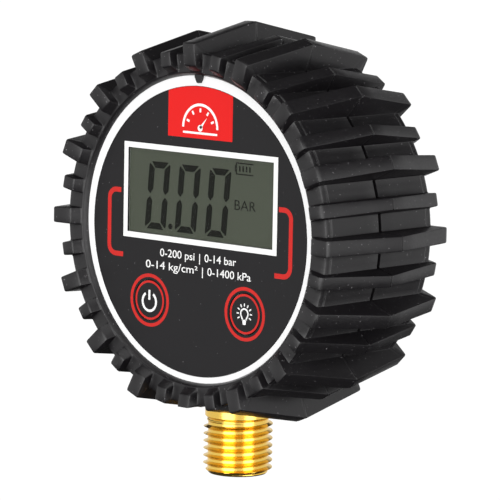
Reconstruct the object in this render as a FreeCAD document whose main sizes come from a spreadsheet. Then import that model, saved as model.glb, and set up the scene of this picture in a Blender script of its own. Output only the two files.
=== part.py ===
"""Digital tire pressure gauge in a tyre-shaped rubber boot, as separate solids.

Frame: +Z up, X to the right of someone reading the dial, the dial faces -Y. The origin is the free end
of the threaded stem, on the stem's axis. Millimetres. Most pieces are drawn about the dial's own axis,
which is parallel to Y, and are then lifted by axis_height.
"""
import FreeCAD, Part
import math
import os
import re
import Sketcher
from FreeCAD import Placement, Rotation, Vector

doc = FreeCAD.newDocument("tire_pressure_gauge")

# ---------------------------------------------------------------- driving dimensions

SIZES = {
    # the dial and the case
    "axis_height": 47.8,        # dial axis above the stem's free end
    "label_drop": 0.4,          # the printed face sits this much below the dial axis
    "case_radius": 30.2,
    "case_front": -12.2,        # plane of the face
    "case_back": 15.4,
    "case_wall": 2.0,
    "face_plate": 2.0,          # thickness of the front housing behind the face
    "back_plate": 2.6,
    "label_radius": 27.5,
    "label_thick": 0.4,
    # the boot
    "boot_mid": 1.5,            # crease of the tread, along the dial axis
    "base_radius": 33.4,
    "base_half": 14.9,          # from the crease to the boot's front and back faces
    "lip_front": 29.0,          # lip's inner radius where it meets the face
    "lip_mouth": 29.6,          # and at the boot's front face
    "lip_back": 27.2,
    "edge_break": 0.5,
    "lug_sink": 0.6,            # depth of a lug's foot in the base's faces
    "groove_width": 0.8,
    "groove_depth": 0.8,
    "foot_radius": 31.0,        # where a lug's front face starts
    "foot_half": 16.65,
    "root_radius": 30.7,
    "tall_crest": 38.9,
    "tall_corner": 35.3,
    "tall_half": 17.2,
    "tall_width": 3.0,
    "low_crest": 37.1,
    "low_corner": 33.9,
    "low_half": 16.7,
    "low_width": 2.5,
    "lug_pairs": 16,
    "stem_gap": 7.2,            # radius of the boot's opening round the stem
    "cut_lug": 33.2,            # height left of the lug over the stem
    "tab_width": 1.9,
    "tab_drop": 1.3,
    "tab_thick": 0.6,
    "tab_root": 0.3,            # half the tab's overlap with the lip
    # window and display
    "window_x": 0.24,
    "window_z": 6.57,
    "window_wide": 37.4,
    "window_tall": 16.1,
    "lens_thick": 0.3,
    "panel_wide": 40.0,
    "panel_tall": 19.0,
    "panel_thick": 1.8,
    "light_wide": 38.0,
    "light_tall": 15.0,
    "light_thick": 1.6,
    "frame_wall": 0.7,
    "hair": 0.05,               # gap between pieces that are placed against each other
    "fit_gap": 0.1,             # gap round a piece that drops into its seat
    "light_rise": 1.0,          # backlight's centre above the panel's
    "strip_wide": 30.0,
    "strip_tall": 1.2,
    "strip_rise": 1.55,         # connector strip above the panel's lower edge
    "bezel_deep": 12.0,         # length of the cuts through the display frame
    # buttons and switches
    "button_x": 12.33,
    "button_z": -14.26,
    "button_radius": 3.95,
    "button_flange": 4.8,
    "button_gap": 0.08,
    "switch_side": 6.0,
    "switch_tall": 3.4,
    "actuator_radius": 1.7,
    "actuator_tall": 1.4,
    "well_deep": 1.3,           # the switch's well for its plunger
    "flange_thick": 0.5,        # the cap's flange, behind the face plate
    # board
    "board_front": -5.4,
    "board_thick": 1.2,
    "board_radius": 27.4,
    "board_notch": 11.0,
    "board_floor": -12.5,       # height of the notch for the stem
    "post_radius": 1.9,
    "pilot_radius": 0.85,
    "post_x": 24.0,
    "post_z": -8.0,
    "mid_post_z": -7.8,
    "pilot_floor": -9.4,        # bottom of the posts' pilot holes
    "board_screw_tip": -9.0,
    "board_screw_head": 1.7,
    "board_head_thick": 1.1,
    "blob_radius": 5.0,
    "blob_thick": 1.5,
    "blob_edge": 0.9,
    "blob_z": 5.0,
    # case screws
    "boss_top_x": 17.0,
    "boss_top_z": 19.0,
    "boss_low_x": 17.2,
    "boss_low_z": -20.2,
    "boss_radius": 2.4,
    "screw_radius": 1.4,
    "screw_head": 2.6,
    "head_thick": 1.8,
    "head_seat": 4.0,
    "rear_boss": 3.6,
    "screw_tip": -8.0,
    "pilot_end": -8.6,
    "slot_wide": 0.7,           # the case screws' cross recess
    "slot_long": 4.0,
    "slot_deep": 0.8,
    # stem
    "bore_radius": 1.75,
    "thread_crest": 6.65,
    "thread_root": 5.78,
    "thread_pitch": 1.411,
    "crest_flat": 0.24,
    "thread_turns": 7,
    "thread_start": 0.62,
    "end_break": 0.5,           # chamfer at the stem's free end
    "run_out": 0.6,             # cone between the thread and the collar
    "collar_radius": 6.4,
    "flange_low": 21.0,
    "flange_top": 24.0,
    "flange_side": 16.0,
    "seat_margin": 1.5,         # wall of the stem's seat beside the flange
    "seat_wall": 1.2,           # and above, below and behind it
    "head_radius": 7.0,
    "head_top": 33.8,
    "pocket_radius": 5.5,
    "pocket_floor": 26.5,
    # sensor
    "oring_radius": 4.2,
    "oring_section": 0.7,
    "sensor_radius": 5.4,
    "sensor_thick": 3.0,
    "neck_radius": 2.6,
    "neck_tall": 2.2,
    "ring_tall": 2.4,
    "ring_bore": 3.2,
    "lead_radius": 0.35,
    "lead_pitch": 1.3,
    "lead_rise": 3.4,
    # battery compartment
    "cell_radius": 5.25,
    "cell_length": 43.4,
    "nub_radius": 1.9,
    "nub_length": 1.0,
    "cell_y": 8.3,
    "cell_z": 5.45,
    "bay_half_x": 25.0,
    "bay_half_z": 11.1,
    "bay_wall": 1.2,
    "bay_floor": 2.8,
    "plate_thick": 0.3,
    "contact_half": 4.2,
    "contact_tall": 8.0,
    "contact_lift": 0.6,        # contacts start this far above the bay's floor
    "spring_foot": 3.6,         # outer radius of a spring at its plate
    "spring_tip": 2.6,          # and at the cell
    "spring_wire": 0.7,
    "lead_level": 7.5,          # where the battery leads pass through the bay's wall
    "lead_gap": 3.0,
    "battery_lead_radius": 0.45,
    "port_radius": 0.6,
    "mouth_half_x": 23.9,
    "mouth_half_z": 10.95,
    "mouth_round": 25.1,
    "door_thick": 1.4,
    "door_half_x": 25.0,
    "door_half_z": 12.3,
    "door_round": 26.4,
    "door_gap": 0.12,
    "tongue_half": 4.2,
    "tongue_end": -18.6,
    "door_screw_z": -15.4,
    "door_boss": 2.6,
    "door_boss_start": 9.0,
    "door_pilot_start": 9.4,
    "door_screw_tip": 9.8,
    "door_hole": 1.1,
    "door_head_hole": 2.1,
    "door_head": 1.9,
    "door_head_thick": 0.7,
    "door_head_sink": 0.8,
    "door_slot_wide": 0.5,
    "door_slot_long": 3.0,
    "door_slot_deep": 0.5,
}

sheet = doc.addObject("Spreadsheet::Sheet", "sizes")
for row, (alias, number) in enumerate(SIZES.items(), start=1):
    sheet.set(f"A{row}", alias)
    sheet.set(f"B{row}", str(number))
    sheet.setAlias(f"B{row}", alias)
doc.recompute()


def bind(text):
    """The expression with every size's name pointed at its cell in the sheet."""
    text = str(text)
    return re.sub(r"[a-z_]+", lambda word: "sizes." + word[0] if word[0] in SIZES else word[0], text)


def value(text):
    """The number an expression gives now, used to start a sketch or a Part shape near its place."""
    return float(sheet.evalExpression(bind(text)))


# ---------------------------------------------------------------- Part Design helpers

PARTS = []


def new_body(name, lift="axis_height"):
    """A body drawn about its own origin and then lifted by an expression."""
    body = doc.addObject("PartDesign::Body", name)
    body.Label = name
    body.setExpression("Placement.Base.z", bind(lift))
    PARTS.append(body)
    return body


def origin_of(body, role):
    """One of the body's own origin planes or axes."""
    return next(item for item in body.Origin.OriginFeatures if item.Role == role)


def new_sketch(body, role, offset="0", turn=None):
    """A sketch on an origin plane, moved along its normal or turned about an axis of the sketch."""
    sketch = body.newObject("Sketcher::SketchObject", body.Name + "_sketch")
    sketch.AttachmentSupport = (origin_of(body, role), [""])
    sketch.MapMode = "FlatFace"
    if turn:
        axis, degrees = turn
        sketch.AttachmentOffset = Placement(Vector(), Rotation(axis, degrees))
    sketch.setExpression("AttachmentOffset.Base.z", bind(offset))
    return sketch


def pin_point(sketch, geometry, position, across, up):
    """Hold one point of the sketch at two bound distances from the sketch's origin."""
    for kind, text in (("DistanceX", across), ("DistanceY", up)):
        rule = Sketcher.Constraint(kind, -1, 1, geometry, position, value(text))
        sketch.setExpression(f"Constraints[{sketch.addConstraint(rule)}]", bind(text))


def draw_outline(sketch, points):
    """A closed outline of straight edges through points given as pairs of expressions."""
    first = sketch.GeometryCount
    places = [Vector(value(across), value(up), 0) for across, up in points]
    count = len(places)
    for index in range(count):
        sketch.addGeometry(Part.LineSegment(places[index], places[(index + 1) % count]))
    for index in range(count):
        after = first + (index + 1) % count
        sketch.addConstraint(Sketcher.Constraint("Coincident", first + index, 2, after, 1))
    for index, (across, up) in enumerate(points):
        pin_point(sketch, first + index, 1, across, up)


def draw_rectangle(sketch, across, up, wide, tall):
    """A rectangle about a centre."""
    left, right = f"({across}) - ({wide}) / 2", f"({across}) + ({wide}) / 2"
    low, high = f"({up}) - ({tall}) / 2", f"({up}) + ({tall}) / 2"
    draw_outline(sketch, [(left, low), (right, low), (right, high), (left, high)])


def draw_circle(sketch, across, up, radius):
    """A circle about a centre."""
    centre = Vector(value(across), value(up), 0)
    index = sketch.addGeometry(Part.Circle(centre, Vector(0, 0, 1), value(radius)))
    pin_point(sketch, index, 3, across, up)
    rule = sketch.addConstraint(Sketcher.Constraint("Radius", index, value(radius)))
    sketch.setExpression(f"Constraints[{rule}]", bind(radius))


def turned(body, role, points, cut=False):
    """Turn an outline about the dial axis (sketch on YZ) or the stem axis (sketch on XZ)."""
    sketch = new_sketch(body, role)
    draw_outline(sketch, points)
    kind = "Groove" if cut else "Revolution"
    feature = body.newObject("PartDesign::" + kind, body.Name + "_turned")
    feature.Profile = sketch
    feature.ReferenceAxis = (sketch, ["H_Axis" if role == "YZ_Plane" else "V_Axis"])
    feature.Angle = 360
    return feature


def pad_between(body, draw, front, back):
    """Add material between two planes across the dial axis, outlined by draw(sketch)."""
    sketch = new_sketch(body, "XZ_Plane", f"-({back})")
    draw(sketch)
    pad = body.newObject("PartDesign::Pad", body.Name + "_pad")
    pad.Profile = sketch
    pad.setExpression("Length", bind(f"({back}) - ({front})"))
    return pad


def pocket_between(body, draw, front, back):
    """Take material away between two planes across the dial axis, outlined by draw(sketch)."""
    sketch = new_sketch(body, "XZ_Plane", f"-({front})")
    draw(sketch)
    pocket = body.newObject("PartDesign::Pocket", body.Name + "_pocket")
    pocket.Profile = sketch
    pocket.setExpression("Length", bind(f"({back}) - ({front})"))
    return pocket


def pocket_down(body, draw, top, depth):
    """Take material away downwards from a level, outlined by draw(sketch)."""
    sketch = new_sketch(body, "XY_Plane", top)
    draw(sketch)
    pocket = body.newObject("PartDesign::Pocket", body.Name + "_drop")
    pocket.Profile = sketch
    pocket.setExpression("Length", bind(depth))
    return pocket


def circle(across, up, radius):
    """A drawing call for one circle."""
    return lambda sketch: draw_circle(sketch, across, up, radius)


def rectangle(across, up, wide, tall):
    """A drawing call for one rectangle."""
    return lambda sketch: draw_rectangle(sketch, across, up, wide, tall)


def together(*calls):
    """A drawing call for several outlines in one sketch."""
    return lambda sketch: [call(sketch) for call in calls]


# ---------------------------------------------------------------- Part helpers

ALONG_Y = Rotation(Vector(1, 0, 0), -90)
ALONG_X = Rotation(Vector(0, 1, 0), 90)
UPRIGHT = Rotation()


def primitive(kind, place, turn=UPRIGHT, **sizes):
    """A Part primitive whose sizes and place are bound to the sheet."""
    item = doc.addObject("Part::" + kind, kind.lower())
    item.Placement = Placement(Vector(), turn)
    for name, text in zip("xyz", place):
        item.setExpression(f"Placement.Base.{name}", bind(text))
    for name, text in sizes.items():
        item.setExpression(name, bind(text))
    return item


def block(low, size):
    """A box from its lowest corner and its three sides."""
    return primitive("Box", low, Length=size[0], Width=size[1], Height=size[2])


def rod(place, radius, length, turn=ALONG_Y):
    """A cylinder that starts at place and runs along the turned Z axis."""
    return primitive("Cylinder", place, turn, Radius=radius, Height=length)


def named(name, item):
    """Make an object the sub-part of that name."""
    item.Label = name
    PARTS.append(item)
    return item


def fused(*items):
    """One solid out of several."""
    union = doc.addObject("Part::MultiFuse", "fuse")
    union.Shapes = list(items)
    return union


def kept_apart(*items):
    """Several separate solids in one group."""
    compound = doc.addObject("Part::Compound", "compound")
    compound.Links = list(items)
    return compound


def cut(base, *tools):
    """A solid less the tools."""
    result = doc.addObject("Part::Cut", "cut")
    result.Base = base
    result.Tool = tools[0] if len(tools) == 1 else fused(*tools)
    return result


# Four case screws, as (x, z) about the dial axis.
CASE_SCREWS = [(f"{side} * {x}", z)
               for x, z in (("boss_top_x", "boss_top_z"), ("boss_low_x", "boss_low_z"))
               for side in (-1, 1)]
# Three board screws, likewise.
BOARD_POSTS = [("-post_x", "post_z"), ("post_x", "post_z"), ("0", "mid_post_z")]
# The two buttons by name, with the side they are on.
BUTTONS = {"power": -1, "light": 1}


def button_place(side):
    """A button's centre about the dial axis."""
    return f"{side} * button_x", "button_z - label_drop"


# ---------------------------------------------------------------- rubber boot

def lug(body, corner, crest, half, width, degrees):
    """One tread lug: a roof with a crease in the middle, standing out of the boot's base."""
    sketch = new_sketch(body, "YZ_Plane", turn=(Vector(1, 0, 0), degrees))
    front, back = "boot_mid - base_half", "boot_mid + base_half"
    draw_outline(sketch, [
        (f"{front} + edge_break", "root_radius"),
        (front, "root_radius - lug_sink"),
        ("boot_mid - foot_half", "foot_radius"),
        (f"boot_mid - {half}", corner),
        ("boot_mid", crest),
        (f"boot_mid + {half}", corner),
        ("boot_mid + foot_half", "foot_radius"),
        (back, "root_radius - lug_sink"),
        (f"{back} - edge_break", "root_radius"),
    ])
    pad = body.newObject("PartDesign::Pad", "lug")
    pad.Profile = sketch
    pad.SideType = "Symmetric"
    pad.setExpression("Length", bind(width))
    pattern = body.newObject("PartDesign::PolarPattern", "lugs")
    pattern.Originals = [pad]
    pattern.Axis = (origin_of(body, "Y_Axis"), [""])
    pattern.Angle = 360
    pattern.setExpression("Occurrences", bind("lug_pairs"))
    body.Tip = pattern


def rubber_boot():
    """The guard: a turned base with a lip at each end, lugs all round and an opening for the stem."""
    body = new_body("rubber_boot")
    front, back = "boot_mid - base_half", "boot_mid + base_half"
    turned(body, "YZ_Plane", [
        ("case_front", "lip_front"),
        (front, "lip_mouth"),
        (front, "base_radius - edge_break"),
        (f"{front} + edge_break", "base_radius"),
        ("boot_mid - groove_width / 2", "base_radius"),
        ("boot_mid - groove_width / 2", "base_radius - groove_depth"),
        ("boot_mid + groove_width / 2", "base_radius - groove_depth"),
        ("boot_mid + groove_width / 2", "base_radius"),
        (f"{back} - edge_break", "base_radius"),
        (back, "base_radius - edge_break"),
        (back, "lip_back + edge_break"),
        ("case_back", "lip_back"),
        ("case_back", "case_radius"),
        ("case_front", "case_radius"),
    ])
    doc.recompute()
    lug(body, "tall_corner", "tall_crest", "tall_half", "tall_width", 0)
    lug(body, "low_corner", "low_crest", "low_half", "low_width", 180 / SIZES["lug_pairs"])
    doc.recompute()
    pocket_down(body, rectangle("0", "boot_mid", "tall_width + 1", "3 * tall_half"), "-cut_lug", "9")
    pocket_down(body, circle("0", "0", "stem_gap"), "0", "45")
    half = "tab_width / 2"
    tip = "lip_front - tab_drop"
    pad_between(body, lambda sketch: draw_outline(sketch, [
        (f"-{half}", "lip_front + tab_root"),
        (f"-{half}", "lip_front - tab_root"),
        (f"-{half} / 3", tip),
        (f"{half} / 3", tip),
        (half, "lip_front - tab_root"),
        (half, "lip_front + tab_root"),
    ]), "case_front - tab_thick", "case_front")


# ---------------------------------------------------------------- case

def stem_seat(body, front, back, notch_front, notch_back):
    """Block inside one half of the case that grips the stem's flange and head."""
    side = "flange_side + 2 * seat_margin"
    bottom, top = "flange_low - axis_height - seat_wall", "flange_top - axis_height + seat_wall"
    pad_between(body, rectangle("0", f"({bottom} + {top}) / 2", side, f"({top}) - ({bottom})"), front, back)
    doc.recompute()
    flange = rectangle("0", "(flange_low + flange_top) / 2 - axis_height", "flange_side + fit_gap",
                       "flange_top - flange_low + fit_gap")
    pocket_between(body, flange, notch_front, notch_back)
    pocket_down(body, circle("0", "0", "head_radius + fit_gap"), "0", "axis_height - flange_top")
    pocket_down(body, circle("0", "0", "collar_radius + hair"), "0", "case_radius + 1")


def front_housing():
    """White front shell: cup with the face plate, screw bosses, board posts and half the stem seat."""
    body = new_body("front_housing")
    inner = "case_radius - case_wall"
    plate = "case_front + face_plate"
    turned(body, "YZ_Plane", [
        ("case_front", "0"), ("case_front", "case_radius"), ("0", "case_radius"),
        ("0", inner), (plate, inner), (plate, "0"),
    ])
    doc.recompute()
    bosses = together(*(circle(x, z, "boss_radius") for x, z in CASE_SCREWS))
    pad_between(body, bosses, plate, "0")
    posts = together(*(circle(x, z, "post_radius") for x, z in BOARD_POSTS))
    pad_between(body, posts, plate, "board_front")
    doc.recompute()
    stem_seat(body, "-flange_side / 2 - seat_wall", "0", "-flange_side / 2 - fit_gap", "0")
    doc.recompute()
    pocket_between(body, circle("0", "-label_drop", "label_radius + hair"), "case_front",
                   "case_front + label_thick")
    pocket_between(body, rectangle("window_x", "window_z - label_drop", "window_wide + fit_gap",
                                   "window_tall + fit_gap"), "case_front", plate)
    holes = together(*(circle(*button_place(side), "button_radius + button_gap")
                       for side in BUTTONS.values()))
    pocket_between(body, holes, "case_front", plate)
    pilots = together(*(circle(x, z, "screw_radius + hair") for x, z in CASE_SCREWS))
    pocket_between(body, pilots, "pilot_end", "0")
    small = together(*(circle(x, z, "pilot_radius") for x, z in BOARD_POSTS))
    pocket_between(body, small, "pilot_floor", "board_front")


def bay_outline(half_x, half_z, radius, grow="0"):
    """Rectangle with its corners on a circle, the shape of the bay's mouth and of its door."""
    wide, tall, reach = f"({half_x} + {grow})", f"({half_z} + {grow})", f"({radius} + {grow})"
    side = f"sqrt({reach} ^ 2 - {wide} ^ 2)"
    edge = f"sqrt({reach} ^ 2 - {tall} ^ 2)"
    return [(f"-{edge}", f"-{tall}"), (edge, f"-{tall}"), (wide, f"-{side}"), (wide, side),
            (edge, tall), (f"-{edge}", tall), (f"-{wide}", side), (f"-{wide}", f"-{side}")]


def rear_housing():
    """Black rear shell: cup with the battery bay, screw bosses and the other half of the stem seat."""
    body = new_body("rear_housing")
    inner = "case_radius - case_wall"
    plate = "case_back - back_plate"
    turned(body, "YZ_Plane", [
        ("0", inner), ("0", "case_radius"), ("case_back", "case_radius"), ("case_back", "0"),
        (plate, "0"), (plate, inner),
    ])
    doc.recompute()
    bosses = together(*(circle(x, z, "rear_boss") for x, z in CASE_SCREWS))
    pad_between(body, bosses, "0", plate)
    pad_between(body, circle("0", "door_screw_z", "door_boss"), "door_boss_start", plate)
    doc.recompute()
    stem_seat(body, "0", "flange_side / 2 + seat_wall", "0", "flange_side / 2 + fit_gap")
    doc.recompute()
    walls = rectangle("0", "0", "2 * (bay_half_x + bay_wall)", "2 * (bay_half_z + bay_wall)")
    pad_between(body, walls, "bay_floor - bay_wall", plate)
    doc.recompute()
    room = rectangle("0", "0", "2 * bay_half_x", "2 * bay_half_z")
    pocket_between(body, room, "bay_floor", plate)
    mouth = bay_outline("mouth_half_x", "mouth_half_z", "mouth_round")
    pocket_between(body, lambda sketch: draw_outline(sketch, mouth), plate, "case_back")
    recess = bay_outline("door_half_x", "door_half_z", "door_round", "door_gap")
    step = "case_back - door_thick"
    pocket_between(body, lambda sketch: draw_outline(sketch, recess), step, "case_back")
    tongue = rectangle("0", "(tongue_end - door_gap) / 2", "2 * (tongue_half + door_gap)",
                       "-tongue_end + door_gap")
    pocket_between(body, tongue, step, "case_back")
    pilot = circle("0", "door_screw_z", "pilot_radius + hair")
    pocket_between(body, pilot, "door_pilot_start", step)
    for x, z in CASE_SCREWS:
        pocket_between(body, circle(x, z, "screw_radius + 0.2"), "0", "head_seat")
        pocket_between(body, circle(x, z, "screw_head + 0.2"), "head_seat", "case_back")
    sketch = new_sketch(body, "YZ_Plane", "bay_half_x + 1.25 * bay_wall")
    for side in (-1, 1):
        draw_circle(sketch, "lead_level", f"{side} * lead_gap", "port_radius")
    ports = body.newObject("PartDesign::Pocket", "lead_ports")
    ports.Profile = sketch
    ports.setExpression("Length", bind("1.5 * bay_wall"))


def cross_recess(x, top, height, wide, long, deep):
    """The two slots of a cross recess in a screw's head, whose top is at that place along the dial axis."""
    start = f"{top} - {deep}"
    slot = block((f"{x} - {long} / 2", start, f"{height} - {wide} / 2"), (long, f"2 * {deep}", wide))
    cross = block((f"{x} - {wide} / 2", start, f"{height} - {long} / 2"), (wide, f"2 * {deep}", long))
    return slot, cross


def case_screws():
    """Four self-tapping screws, from the rear half into the front half."""
    screws = []
    for x, z in CASE_SCREWS:
        height = f"axis_height + {z}"
        shank = rod((x, "screw_tip", height), "screw_radius", "head_seat - screw_tip")
        head = rod((x, "head_seat", height), "screw_head", "head_thick")
        recess = cross_recess(x, "head_seat + head_thick", height, "slot_wide", "slot_long", "slot_deep")
        screws.append(cut(fused(shank, head), *recess))
    named("case_screws", kept_apart(*screws))


# ---------------------------------------------------------------- face

def label_overlay():
    """Printed face label with the window and the two button holes."""
    body = new_body("label_overlay")
    pad_between(body, circle("0", "-label_drop", "label_radius"), "case_front", "case_front + label_thick")
    doc.recompute()
    window = rectangle("window_x", "window_z - label_drop", "window_wide + fit_gap",
                       "window_tall + fit_gap")
    pocket_between(body, window, "case_front", "case_front + label_thick")
    holes = together(*(circle(*button_place(side), "button_radius + button_gap")
                       for side in BUTTONS.values()))
    pocket_between(body, holes, "case_front", "case_front + label_thick")


def centred(across, up, front, wide, tall, thick):
    """A plate across the dial axis, centred at across and up about that axis."""
    low = (f"{across} - ({wide}) / 2", front, f"axis_height + {up} - ({tall}) / 2")
    return block(low, (wide, thick, tall))


def display():
    """Window lens, stepped LCD panel, backlight, holder and connector strip, from front to back."""
    x, z = "window_x", "window_z - label_drop"
    plate = "case_front + face_plate"
    named("display_lens", centred(x, z, "case_front + hair", "window_wide", "window_tall", "lens_thick"))
    panel_back = f"{plate} + fit_gap + panel_thick"
    step = "case_front + lens_thick + 2 * hair"
    raised = centred(x, z, step, "window_wide", "window_tall", f"{plate} + 2 * fit_gap - ({step})")
    flat = centred(x, z, f"{plate} + fit_gap", "panel_wide", "panel_tall", "panel_thick")
    named("display_panel", fused(raised, flat))
    light_z = f"{z} + light_rise"
    named("backlight_panel",
          centred(x, light_z, f"{panel_back} + hair", "light_wide", "light_tall", "light_thick"))
    wide, tall = "panel_wide + fit_gap", "panel_tall + fit_gap"
    outer = centred(x, z, f"{plate} + hair", f"{wide} + 2 * frame_wall", f"{tall} + 2 * frame_wall",
                    f"board_front - ({plate}) - 2 * hair")
    seat = centred(x, z, f"{plate} - 1", wide, tall, "panel_thick + 1 + fit_gap")
    well = centred(x, light_z, f"{plate} - 1", "light_wide + fit_gap", "light_tall + fit_gap", "bezel_deep")
    strip_z = f"{z} - panel_tall / 2 + strip_rise"
    slot = centred(x, strip_z, f"{plate} - 1", "strip_wide + 2 * fit_gap", "strip_tall + 2 * fit_gap",
                   "bezel_deep")
    named("display_frame", cut(outer, seat, well, slot))
    strip_long = f"board_front - ({panel_back}) - 0.8 * hair"
    named("elastomer_connector",
          centred(x, strip_z, f"{panel_back} + 0.4 * hair", "strip_wide", "strip_tall", strip_long))


def buttons():
    """For each side: cap with its flange, switch body, and the switch's plunger under the cap."""
    plate = "case_front + face_plate"
    for name, side in BUTTONS.items():
        x, z = button_place(side)
        body = new_body(name + "_button")
        pad_between(body, circle(x, z, "button_radius"), "case_front + 0.4 * hair", f"{plate} + fit_gap")
        flange_back = f"{plate} + fit_gap + flange_thick"
        pad_between(body, circle(x, z, "button_flange"), f"{plate} + fit_gap", flange_back)
        height = f"axis_height + {z}"
        top = "board_front - switch_tall"
        case = centred(x, z, top, "switch_side", "switch_side", "switch_tall")
        well = rod((x, f"{top} - 1", height), "actuator_radius + hair", "well_deep + 1")
        named(name + "_switch", cut(case, well))
        named(name + "_actuator", rod((x, flange_back, height), "actuator_radius", "actuator_tall"))


# ---------------------------------------------------------------- board

# Components on the board's rear, as x and z about the dial axis and (width, height, thickness).
COMPONENTS = [
    ("-12", "10", ("5", "4", "1.2")),
    ("-14", "0", ("3.2", "1.6", "0.9")),
    ("-9", "-6", ("1.6", "3.2", "0.9")),
    ("11", "12", ("6", "2.4", "1.6")),
    ("12", "2", ("3.2", "1.6", "0.9")),
    ("10", "-5", ("2", "1.25", "0.8")),
]


def circuit_board():
    """Round board with a notch over the stem and holes for the screws."""
    body = new_body("circuit_board")
    back = "board_front + board_thick"
    pad_between(body, circle("0", "0", "board_radius"), "board_front", back)
    doc.recompute()
    notch = rectangle("0", "board_floor - 10", "2 * board_notch", "20")
    pocket_between(body, notch, "board_front", back)
    bosses = together(*(circle(x, z, "boss_radius + 0.3") for x, z in CASE_SCREWS))
    pocket_between(body, bosses, "board_front", back)
    pilots = together(*(circle(x, z, "pilot_radius + 0.15") for x, z in BOARD_POSTS))
    pocket_between(body, pilots, "board_front", back)


def board_fittings():
    """Screws, controller under its epoxy blob, and the small components on the rear of the board."""
    back = "board_front + board_thick"
    screws = []
    for x, z in BOARD_POSTS:
        height = f"axis_height + {z}"
        shank = rod((x, "board_screw_tip", height), "pilot_radius - 0.4 * hair", f"{back} - board_screw_tip")
        screws.append(fused(shank, rod((x, back, height), "board_screw_head", "board_head_thick")))
    named("board_screws", kept_apart(*screws))
    blob = rod(("0", back, "axis_height + blob_z"), "blob_radius", "blob_thick")
    rounded = doc.addObject("Part::Chamfer", "rounded")
    rounded.Base = blob
    edge_break = SIZES["blob_edge"]
    rims = [index for index, rim in enumerate(rim_edges(blob, back), start=1) if rim]
    rounded.Edges = [(index, edge_break, edge_break) for index in rims]
    named("controller_blob", rounded)
    named("board_components", kept_apart(*(centred(x, z, back, *size) for x, z, size in COMPONENTS)))


def rim_edges(item, base):
    """For each edge of a rod along Y, whether it is the rim away from the base plane."""
    doc.recompute()
    far = value(base) + 0.01
    return [edge.BoundBox.YMin > far for edge in item.Shape.Edges]


# ---------------------------------------------------------------- stem and sensor

def brass_stem():
    """Turned fitting: ring-crested inlet thread, collar, square flange and head with the sensor pocket."""
    body = new_body("brass_stem", "0")
    profile = [("bore_radius", "0"), ("thread_root - end_break", "0"), ("thread_root", "end_break")]
    rise = "(thread_pitch - crest_flat) / 2"
    for turn in range(SIZES["thread_turns"]):
        level = f"thread_start + {turn} * thread_pitch"
        profile += [("thread_root", level), ("thread_crest", f"{level} + {rise}"),
                    ("thread_crest", f"{level} + {rise} + crest_flat")]
    end = "thread_start + thread_turns * thread_pitch"
    profile += [("thread_root", end), ("collar_radius", f"{end} + run_out"),
                ("collar_radius", "flange_low + 1"), ("head_radius", "flange_low + 1"),
                ("head_radius", "head_top"), ("pocket_radius", "head_top"),
                ("pocket_radius", "pocket_floor"), ("bore_radius", "pocket_floor")]
    turned(body, "XZ_Plane", profile)
    doc.recompute()
    sketch = new_sketch(body, "XY_Plane", "flange_low")
    draw_rectangle(sketch, "0", "0", "flange_side", "flange_side")
    draw_circle(sketch, "0", "0", "collar_radius - 0.4")
    flange = body.newObject("PartDesign::Pad", "flange")
    flange.Profile = sketch
    flange.setExpression("Length", bind("flange_top - flange_low"))


def sensor():
    """O-ring, transducer, threaded retaining ring and the three wires to the board."""
    ring = primitive("Torus", ("0", "0", "pocket_floor + oring_section"), Radius1="oring_radius",
                     Radius2="oring_section")
    named("sensor_oring", ring)
    low = "pocket_floor + 2 * oring_section"
    can = rod(("0", "0", low), "sensor_radius", "sensor_thick", UPRIGHT)
    neck = rod(("0", "0", f"{low} + sensor_thick"), "neck_radius", "neck_tall", UPRIGHT)
    named("pressure_sensor", fused(can, neck))
    outer = rod(("0", "0", f"{low} + sensor_thick"), "pocket_radius - 0.6 * hair", "ring_tall", UPRIGHT)
    inner = rod(("0", "0", f"{low} + sensor_thick - 1"), "ring_bore", "ring_tall + 2", UPRIGHT)
    named("sensor_retainer", cut(outer, inner))
    foot = value(f"{low} + sensor_thick + neck_tall")
    bend = foot + value("lead_rise")
    wires = []
    for step in (-1, 0, 1):
        x = step * value("lead_pitch")
        back = value("board_front + board_thick")
        route = [Vector(x, 0, foot), Vector(x, 0, bend), Vector(x, back, bend)]
        wires.append(tube(route, value("lead_radius")))
    wire_group("sensor_leads", wires)


def tube(route, radius):
    """Round wire along straight runs joined by tangent arcs, swept from its first point."""
    edges = []
    start = route[0]
    for before, corner, after in zip(route, route[1:], route[2:]):
        into, out = (corner - before).normalize(), (after - corner).normalize()
        half_turn = into.getAngle(out) / 2
        reach = 0.45 * min((corner - before).Length, (after - corner).Length)
        bend = reach / math.tan(half_turn)
        first, last = corner - into * reach, corner + out * reach
        middle_way = (out - into).normalize()
        centre = corner + middle_way * (bend / math.cos(half_turn))
        edges.append(Part.LineSegment(start, first).toShape())
        edges.append(Part.Arc(first, centre - middle_way * bend, last).toShape())
        start = last
    edges.append(Part.LineSegment(start, route[-1]).toShape())
    path = Part.Wire(edges)
    ring = Part.Wire([Part.Circle(route[0], (route[1] - route[0]).normalize(), radius).toShape()])
    swept = path.makePipeShell([ring], True, False)
    expected = math.pi * radius ** 2 * path.Length
    if abs(swept.Volume - expected) > 0.02 * expected:
        raise RuntimeError("a wire's volume isn't its section times its length")
    return swept


def wire_group(name, shapes):
    """Separate wires held in one node."""
    feature = doc.addObject("Part::Feature", name)
    feature.Shape = Part.makeCompound(shapes)
    feature.Placement = Placement()
    named(name, feature)


# ---------------------------------------------------------------- battery bay

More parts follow.
